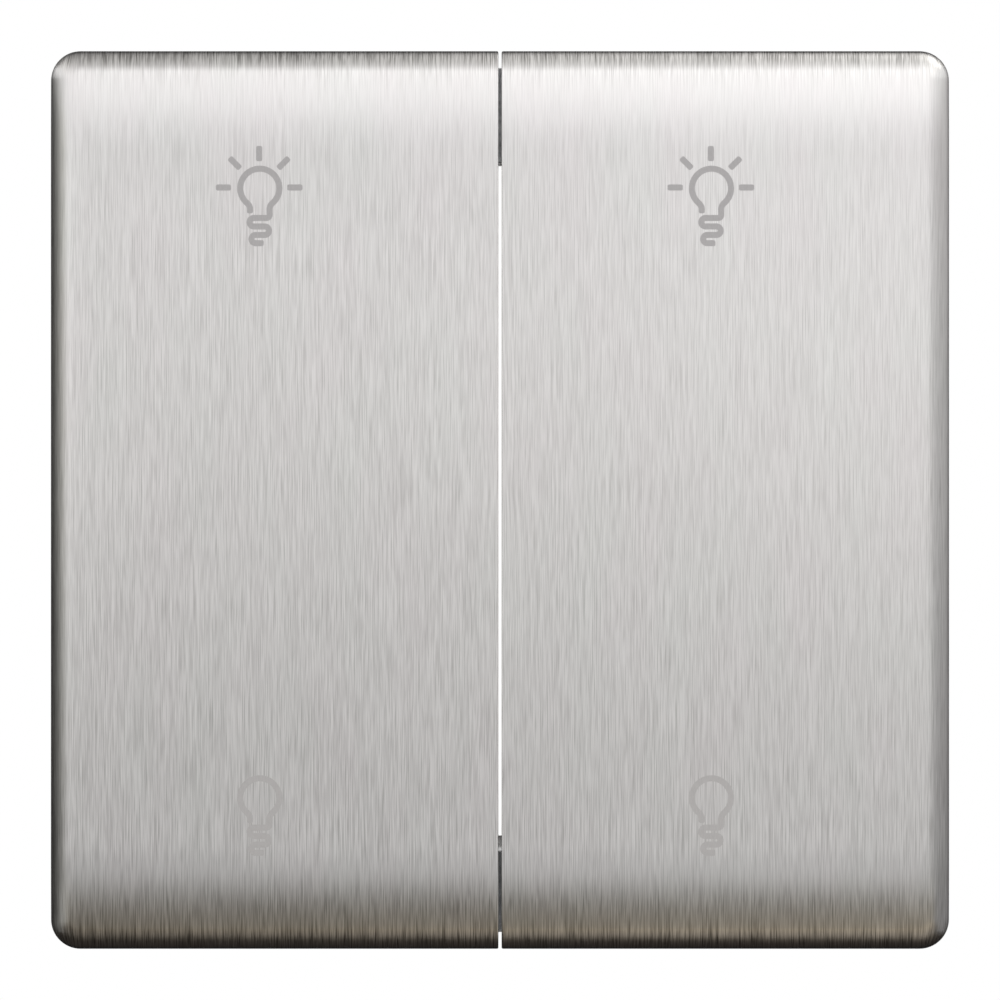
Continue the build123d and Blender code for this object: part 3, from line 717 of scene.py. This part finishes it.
def lacquered_board():
    finish, shader = new_finish("lacquered_board")
    place = object_place(finish)
    tracks = add_node(finish, "ShaderNodeTexVoronoi", distance="MANHATTAN", feature="F1")
    tracks.inputs["Scale"].default_value = 260.0
    join(finish, place, tracks.inputs["Vector"])
    between = ranged(finish, tracks.outputs["Distance"], 0, 1, 0.34, 0.4)
    join(finish, two_colours(finish, between, TRACK_TONE, LACQUER_TONE), shader.inputs["Base Color"])
    grain = noise(finish, place, (900, 900, 900))
    join(finish, ranged(finish, grain, 0.25, 0.4), shader.inputs["Roughness"])
    shader.inputs["Coat Weight"].default_value = 0.4
    add_bump(finish, shader, tracks.outputs["Distance"], 0.1, 0.03 * MM)
    return finish


def wound_wire():
    finish, shader = new_finish("wound_wire")
    turns = add_node(finish, "ShaderNodeTexWave", bands_direction="Z", wave_profile="SIN")
    turns.inputs["Scale"].default_value = 420.0
    join(finish, object_place(finish), turns.inputs["Vector"])
    height = turns.outputs["Fac"]
    # painted shade: the grooves between the turns are coloured darker than the wire
    join(finish, two_colours(finish, height, PAINTED_SHADE_BETWEEN_TURNS, WIRE_TONE), shader.inputs["Base Color"])
    join(finish, ranged(finish, height, 0.45, 0.25, 0.0, 1.0), shader.inputs["Roughness"])
    shader.inputs["Metallic"].default_value = 0.85
    add_bump(finish, shader, height, 0.8, 0.15 * MM)
    return finish


def opal_with_painted_glow():
    finish, shader = new_finish("opal_with_painted_glow")
    place = object_place(finish)
    clouds = noise(finish, place, (300, 300, 60), detail=2.0)
    join(finish, two_colours(finish, clouds, DULL_OPAL, CLEAR_OPAL), shader.inputs["Base Color"])
    join(finish, ranged(finish, clouds, 0.3, 0.42), shader.inputs["Roughness"])
    axes = add_node(finish, "ShaderNodeSeparateXYZ")
    join(finish, place, axes.inputs["Vector"])
    lowered = add_node(finish, "ShaderNodeMath", operation="SUBTRACT")
    lowered.inputs[1].default_value = PAINTED_GLOW_MIDDLE
    join(finish, axes.outputs["Z"], lowered.inputs[0])
    reach = add_node(finish, "ShaderNodeMath", operation="ABSOLUTE")
    join(finish, lowered.outputs[0], reach.inputs[0])
    # painted light: the glow makes the line white where an unlit guide would lie in shade
    painted_line_glow = ramped(finish, reach.outputs[0], PAINTED_GLOW_LENGTH)
    # painted glint: a pale spot of light at the guide's lower end
    end = ramped(finish, axes.outputs["Z"], grey(PAINTED_END_GLINT))
    join(finish, mixed(finish, "ADD", 1.0, painted_line_glow, end), shader.inputs["Emission Color"])
    shader.inputs["Emission Strength"].default_value = 1.0
    return finish


FINISHES["board"] = lacquered_board()
FINISHES["copper_wire"] = wound_wire()
FINISHES["opal_guide"] = opal_with_painted_glow()
print("finishes:", len(FINISHES))

# %% [markdown]
# ## Pieces of the insert
# The CAD solids of the insert already have the right shapes, but their edges are knife sharp, and
# no moulded or punched edge is. A copy of each solid has its loose triangles merged and its flat
# faces joined, and a Bevel modifier rounds what is left. The width suits the piece: a punched plate
# has a tight burr edge, a moulding a wider one. The housing's outer edges get a rounding of their
# own first: they are the ones where no part of the solid stands out over either face. The light
# guide's lower end is drawn out a little, down to where its pale spot shows.

# %% Soft edges for the insert
EDGE_WIDTHS = {
    "rear_housing": 0.35, "front_cover": 0.25, "support_plate": 0.18, "terminal_block": 0.2,
    "film_capacitor": 0.5, "storage_capacitor": 0.6, "varistor": 0.5, "fuse": 0.3, "choke_core": 0.25,
    "choke_winding": 0.4, "housing_screws": 0.12, "terminal_screws": 0.12, "light_guide": 0.1,
}
USUAL_WIDTH = 0.1
OUTER_WIDTHS = {"rear_housing": 1.2}
ARM_KEYS = {"centering_spring_left": "key_left", "centering_spring_right": "key_right"}
BEVEL_ABOVE = math.radians(24)
FLAT_BELOW = math.radians(1.5)
# the guide's drawn-out lower end carries its painted glint
GUIDE_END = 26.6 * MM
GUIDE_TONGUE = 1.15 * MM


def soft_copy(node):
    """A copy of a CAD solid with merged triangles and joined flat faces."""
    bm = bmesh.new()
    bm.from_mesh(frame["nodes"][node].data)
    bmesh.ops.remove_doubles(bm, verts=bm.verts, dist=CLOSE)
    bmesh.ops.dissolve_limit(bm, angle_limit=FLAT_BELOW, verts=bm.verts, edges=bm.edges)
    if node == "light_guide":
        end = [vert for vert in bm.verts if vert.co.z < -GUIDE_END]
        bmesh.ops.translate(bm, verts=end, vec=(0, 0, -GUIDE_TONGUE))
    return bm


def round_outside(bm, width):
    """Rounds the outer edges of a moulding, apart from those at its front rim."""
    front = min(vert.co.y for vert in bm.verts)
    outside = set()
    for face in bm.faces:
        start = face.verts[0].co
        if all((vert.co - start).dot(face.normal) < 10 * CLOSE for vert in bm.verts):
            outside.add(face)
    edges = [
        edge for edge in bm.edges
        if len(edge.link_faces) == 2 and outside.issuperset(edge.link_faces)
        and edge.calc_face_angle() > BEVEL_ABOVE and max(vert.co.y for vert in edge.verts) > front + width
    ]
    bmesh.ops.bevel(
        bm, geom=edges, offset=width, segments=4, profile=0.5, affect="EDGES", material=-1,
    )
    print("outer edges rounded:", len(edges))


slots = {part["node"]: part["material_slot"] for part in frame["record"]["subparts"]}
bodies = {node: body for body, nodes in frame["record"]["behaviour"]["bodies"].items() for node in nodes}
dressed = 0
for node, slot in slots.items():
    if slot == "key_face" or node in ARM_KEYS:
        continue
    bm = soft_copy(node)
    if node in OUTER_WIDTHS:
        round_outside(bm, OUTER_WIDTHS[node] * MM)
    piece = new_piece(f"{node}_eased", bm, FINISHES[slot], bodies[node])
    bevel = piece.modifiers.new("soft_edges", "BEVEL")
    bevel.width = EDGE_WIDTHS.get(node, USUAL_WIDTH) * MM
    bevel.segments = 3
    bevel.limit_method = "ANGLE"
    bevel.angle_limit = BEVEL_ABOVE
    even_shading(piece)
    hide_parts(node)
    dressed += 1
print("eased pieces of the insert:", dressed)

# %% [markdown]
# A leaf spring lies under each key, held by a stud in its middle, with an arm up and an arm down.
# When the key rocks, the arms stay against it and bend. Here the spring is cut through its middle
# into an upper and a lower arm, each a piece of its own that rides on no body.

# %% Spring arms
ARM_EDGE = 0.05 * MM


def spring_arm(node, up):
    """The upper or lower half of a leaf spring, closed at the cut, with soft edges."""
    bm = soft_copy(node)
    whole = [*bm.verts, *bm.edges, *bm.faces]
    bmesh.ops.bisect_plane(bm, geom=whole, plane_co=(0, 0, 0), plane_no=(0, 0, -up), clear_outer=True)
    bmesh.ops.holes_fill(bm, edges=[edge for edge in bm.edges if edge.is_boundary])
    edges = [
        edge for edge in bm.edges
        if edge.calc_face_angle() > BEVEL_ABOVE and max(abs(vert.co.z) for vert in edge.verts) > ARM_EDGE
    ]
    bmesh.ops.bevel(
        bm, geom=edges, offset=ARM_EDGE, segments=2, profile=0.5, affect="EDGES", material=-1,
    )
    return bm


for node, key in ARM_KEYS.items():
    for word, up in (("upper", 1), ("lower", -1)):
        bm = spring_arm(node, up)
        arm = new_piece(f"{node}_{word}_arm", bm, FINISHES[slots[node]], None)
        even_shading(arm)
        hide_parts(node)
        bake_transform(arm)
        print(arm.name, len(arm.data.polygons), "faces")

# %% [markdown]
# ## Floor, room and light
# A shiny sheet shows what stands round it, so its tones are made by the room. The world is plain
# white, and the floor is a pale disc far below. A curved screen, two side cards and narrow flags do
# the rest. They are not part of the object, and the camera doesn't see them.

# %% World and floor
FLOOR_RADIUS = 0.3
FLOOR_Y = 0.05
FLOOR_Z = -0.23

world = bpy.data.worlds.new("white_room")
bpy.context.scene.world = world
world.use_nodes = True
world.node_tree.nodes["Background"].inputs["Color"].default_value = (1, 1, 1, 1)
world.node_tree.nodes["Background"].inputs["Strength"].default_value = 1.0


def stage_object(name, bm, finish):
    mesh = bpy.data.meshes.new(name)
    bm.to_mesh(mesh)
    bm.free()
    mesh.shade_smooth()
    mesh.materials.append(finish)
    thing = bpy.data.objects.new(name, mesh)
    bpy.context.scene.collection.objects.link(thing)
    return thing


bm = bmesh.new()
bmesh.ops.create_circle(bm, cap_ends=True, segments=96, radius=FLOOR_RADIUS)
bmesh.ops.translate(bm, verts=bm.verts, vec=(0, FLOOR_Y, FLOOR_Z))
floor_finish = moulding("pale_floor", (0.8, 0.8, 0.8), (0.84, 0.84, 0.84), 0.7, 0.05, 200.0)
stage_object("floor", bm, floor_finish)
print("floor at", FLOOR_Z, "m")

# %% [markdown]
# In front of the keys the screen runs from below the object over to above it: dim and warm low down,
# brightest high up in front, and dimmer again overhead. The angle above the level picks a tone, which
# gives the keys their slow change from top to bottom. A second factor depends on the angle aside, and
# it differs with the height: each row of factors takes over from the one below it between two angles.

# %% Tones of the screen
SCREEN_RADIUS = 0.2
SCREEN_HALF = 0.22
BRIGHTEST = 1.6
SCREEN_TONES = [
    (-142, (0.015, 0.012, 0.01)), (-125, (0.028, 0.024, 0.021)), (-100, (0.033, 0.028, 0.024)),
    (-88, (0.052, 0.045, 0.036)), (-66, (0.182, 0.159, 0.13)), (-42, (0.259, 0.22, 0.164)),
    (-36, (0.192, 0.17, 0.133)), (-31, (0.164, 0.152, 0.13)), (-25, (0.325, 0.319, 0.306)),
    (-18, (0.652, 0.649, 0.652)), (-9, (0.576, 0.571, 0.566)), (0, (0.88, 0.873, 0.867)),
    (5, (1.042, 1.034, 1.028)), (10, (0.995, 0.99, 0.998)), (16, (1.02, 1.01, 1.02)),
    (30, (1.3, 1.29, 1.3)), (42, (1.345, 1.335, 1.33)), (68, (0.88, 0.87, 0.857)),
    (88, (0.68, 0.67, 0.65)), (112, (0.5, 0.49, 0.475)), (140, (0.17, 0.165, 0.16)),
]
UNDER_TONES = [(-48, 0.95), (0, 1.05), (48, 1.1)]
BELOW_TONES = [
    (-48, 0.9), (-36, 0.9), (-26, 0.5), (-17, 0.12), (-10, 0.74), (-6, 0.84), (0, 1.2), (6, 2.0), (16, 2.2),
    (26, 2.1), (36, 1.0), (48, 0.1),
]
LOWER_TONES = [
    (-48, 1.7), (-36, 2.0), (-27, 2.0), (-17, 0.85), (-8, 0.78), (0, 1.0), (8, 1.32), (14, 1.75), (22, 2.2),
    (34, 2.1), (48, 1.4),
]
CROWN_TONES = [
    (-48, 0.85), (-40, 0.9), (-28, 1.08), (-17, 0.87), (-8, 0.83), (0, 1.17), (8, 1.48), (14, 1.62),
    (22, 0.85), (34, 0.75), (48, 0.6),
]
AHEAD_TONES = [
    (-48, 0.85), (-40, 1.05), (-28, 1.55), (-17, 1.13), (-8, 0.66), (0, 1.015), (8, 1.32), (14, 1.88),
    (22, 0.9), (34, 0.86), (48, 0.7),
]
UPPER_TONES = [
    (-48, 1.2), (-28, 0.95), (-17, 1.02), (-8, 1.0), (0, 1.06), (8, 1.34), (14, 1.6), (22, 1.05), (48, 0.8),
]
ABOVE_TONES = [
    (-48, 1.8), (-34, 1.4), (-18, 0.52), (-6, 0.7), (0, 1.03), (6, 1.4), (14, 1.36), (22, 1.8),
    (34, 2.1), (48, 1.7),
]
OVER_TONES = [
    (-48, 1.5), (-34, 1.3), (-18, 0.6), (-6, 0.67), (0, 1.05), (6, 1.62), (14, 2.0), (22, 3.9),
    (34, 5.0), (48, 5.0),
]
SIDE_TONES = [
    (-105, -80, BELOW_TONES), (-45, -28, LOWER_TONES), (-27, -20, CROWN_TONES), (-13, -9, AHEAD_TONES),
    (12, 22, UPPER_TONES), (36, 66, ABOVE_TONES), (86, 108, OVER_TONES),
]
SIDE_BRIGHTEST = 5.0
print("tones of the screen:", len(SCREEN_TONES), "and rows above the lowest:", len(SIDE_TONES))

# %% [markdown]
# The screen is a straight line spun round the object's level axis, so it costs few faces. Its light is
# an Emission shader that works out both angles from the place on the screen.

# %% Screen
SCREEN_STEPS = 60


def light_finish(name):
    """A material that only glows: its emission node and the axes of the object."""
    finish, shader = new_finish(name)
    finish.node_tree.nodes.remove(shader)
    light = add_node(finish, "ShaderNodeEmission")
    light.inputs["Strength"].default_value = BRIGHTEST
    join(finish, light.outputs[0], finish.node_tree.nodes["Material Output"].inputs["Surface"])
    axes = add_node(finish, "ShaderNodeSeparateXYZ")
    join(finish, object_place(finish), axes.inputs["Vector"])
    return finish, light, axes.outputs


def degrees_between(finish, rise, ahead):
    """The angle of a slope in degrees. The way ahead is a number or a socket."""
    angle = add_node(finish, "ShaderNodeMath", operation="ARCTAN2")
    join(finish, rise, angle.inputs[0])
    if isinstance(ahead, float):
        angle.inputs[1].default_value = ahead
    else:
        join(finish, ahead, angle.inputs[1])
    node = add_node(finish, "ShaderNodeMath", operation="DEGREES")
    join(finish, angle.outputs[0], node.inputs[0])
    return node.outputs[0]


def negative(finish, value):
    node = add_node(finish, "ShaderNodeMath", operation="MULTIPLY")
    node.inputs[1].default_value = -1.0
    join(finish, value, node.inputs[0])
    return node.outputs[0]


def screen_light():
    finish, light, axes = light_finish("screen_light")
    rise = degrees_between(finish, axes["Z"], negative(finish, axes["Y"]))
    aside = degrees_between(finish, axes["X"], SCREEN_RADIUS)
    tone = ramped(finish, rise, SCREEN_TONES, BRIGHTEST)
    side = ramped(finish, aside, grey(UNDER_TONES), SIDE_BRIGHTEST)
    for start, full, tones in SIDE_TONES:
        row = ramped(finish, aside, grey(tones), SIDE_BRIGHTEST)
        side = mixed(finish, "MIX", ranged(finish, rise, 0, 1, start, full), side, row)
    join(finish, mixed(finish, "MULTIPLY", 1.0, tone, side), light.inputs["Color"])
    light.inputs["Strength"].default_value = BRIGHTEST * SIDE_BRIGHTEST
    return finish


bm = bmesh.new()
low, high = SCREEN_TONES[0][0], SCREEN_TONES[-1][0]
foot = Matrix.Rotation(math.radians(-low), 3, "X") @ Vector((0, -SCREEN_RADIUS, 0))
ends = [bm.verts.new(foot + Vector((x, 0, 0))) for x in (-SCREEN_HALF, SCREEN_HALF)]
line = bm.edges.new(ends)
bmesh.ops.spin(
    bm, geom=[line, *ends], cent=(0, 0, 0), axis=(-1, 0, 0), angle=math.radians(high - low),
    steps=SCREEN_STEPS,
)
screen = stage_object("light_screen", bm, screen_light())
screen.visible_camera = False
print("screen from", low, "to", high, "degrees, rows:", len(screen.data.polygons))

# %% [markdown]
# A card on each side draws the rolled edges left and right. Both get darker from the room towards the
# wall and are brighter high up, and the left card is much the darker one at the back.

# %% Side cards
CARD_X = 0.15
CARD_Y = 0.005
CARD_DEPTH = 0.29
CARD_HEIGHT = 0.26
LEFT_TONES = [(-0.14, 0.88), (-0.078, 0.54), (-0.026, 0.235), (0.019, 0.08), (0.06, 0.015), (0.15, 0.008)]
RIGHT_TONES = [(-0.14, 0.7), (-0.094, 0.62), (-0.016, 0.53), (0.015, 0.6), (0.075, 0.46), (0.15, 0.15)]
LEFT_HEIGHTS = [
    (-0.13, 0.9), (-0.08, 0.9), (-0.045, 0.5), (-0.029, 0.48), (0.0, 1.0), (0.035, 1.3), (0.13, 1.6),
]
RIGHT_HEIGHTS = [(-0.13, 0.52), (-0.06, 0.5), (-0.029, 0.61), (0.0, 1.0), (0.035, 1.34), (0.13, 1.6)]
LEFT_TINT = (1.0, 0.995, 0.93)
RIGHT_TINT = (1.0, 0.99, 0.985)
LEFT_TOP = 1.1
RIGHT_TOP = 1.25
TOP_SHARE = [(0.045, 0.0), (0.095, 1.0)]


def card_light(name, tones, heights, top_tone):
    """Light of a side card: tones from front to back, dimmer below, with an even top."""
    finish, light, axes = light_finish(name)
    middle = ramped(finish, axes["Y"], tones)
    height = ramped(finish, axes["Z"], grey(heights), BRIGHTEST)
    lit = mixed(finish, "MULTIPLY", 1.0, middle, height)
    top = add_node(finish, "ShaderNodeMix", data_type="RGBA")
    top.inputs[7].default_value = (top_tone / BRIGHTEST,) * 3 + (1,)
    join(finish, ramped(finish, axes["Z"], grey(TOP_SHARE)), top.inputs[0])
    join(finish, lit, top.inputs[6])
    join(finish, top.outputs[2], light.inputs["Color"])
    return finish


CARDS = {
    "left_card": (-CARD_X, tinted(LEFT_TONES, LEFT_TINT), LEFT_HEIGHTS, LEFT_TOP),
    "right_card": (CARD_X, tinted(RIGHT_TONES, RIGHT_TINT), RIGHT_HEIGHTS, RIGHT_TOP),
}
for name, (x, tones, heights, top_tone) in CARDS.items():
    bm = bmesh.new()
    bmesh.ops.create_grid(bm, x_segments=1, y_segments=1, size=0.5)
    bmesh.ops.rotate(bm, verts=bm.verts, cent=(0, 0, 0), matrix=Matrix.Rotation(math.radians(90), 3, "Y"))
    bmesh.ops.scale(bm, verts=bm.verts, vec=(1, CARD_DEPTH, CARD_HEIGHT))
    bmesh.ops.translate(bm, verts=bm.verts, vec=(x, CARD_Y, 0))
    card = stage_object(name, bm, card_light(name, tones, heights, top_tone))
    card.visible_camera = False
    print(name, "at", x, "m")

# %% [markdown]
# At the very outline the sheet turns away so far that it shows what lies just behind and beside it.
# Photographers draw that line with narrow dark flags, and so does the frame of card that is laid
# round the keys just behind the plane of the wall: nearly black, and a little lighter at the top.

# %% Edge flags
FLAG_ROOM = 0.7 * MM
FLAG_WIDTH = 9 * MM
FLAG_INNER = HALF + FLAG_ROOM
FLAG_OUTER = FLAG_INNER + FLAG_WIDTH
FLAG_Y = 1.5 * MM
FLAG_CORNERS = [
    (FLAG_INNER, -FLAG_INNER), (FLAG_OUTER, -FLAG_OUTER), (FLAG_OUTER, FLAG_OUTER), (FLAG_INNER, FLAG_INNER),
]
FLAGS = {"right": (0, 0.02), "upper": (90, 0.07), "left": (180, 0.015), "lower": (270, 0.015)}

for word, (turn, tone) in FLAGS.items():
    bm = bmesh.new()
    bm.faces.new([bm.verts.new((x, FLAG_Y, z)) for x, z in FLAG_CORNERS])
    about = Matrix.Rotation(math.radians(-turn), 3, "Y")
    bmesh.ops.rotate(bm, verts=bm.verts, cent=(0, 0, 0), matrix=about)
    finish, light = light_finish(f"{word}_flag_light")[:2]
    light.inputs["Color"].default_value = (tone / BRIGHTEST,) * 3 + (1,)
    flag = stage_object(f"{word}_flag", bm, finish)
    flag.visible_camera = False
    print(flag.name, [round(value / MM, 1) for value in flag.data.vertices[1].co])
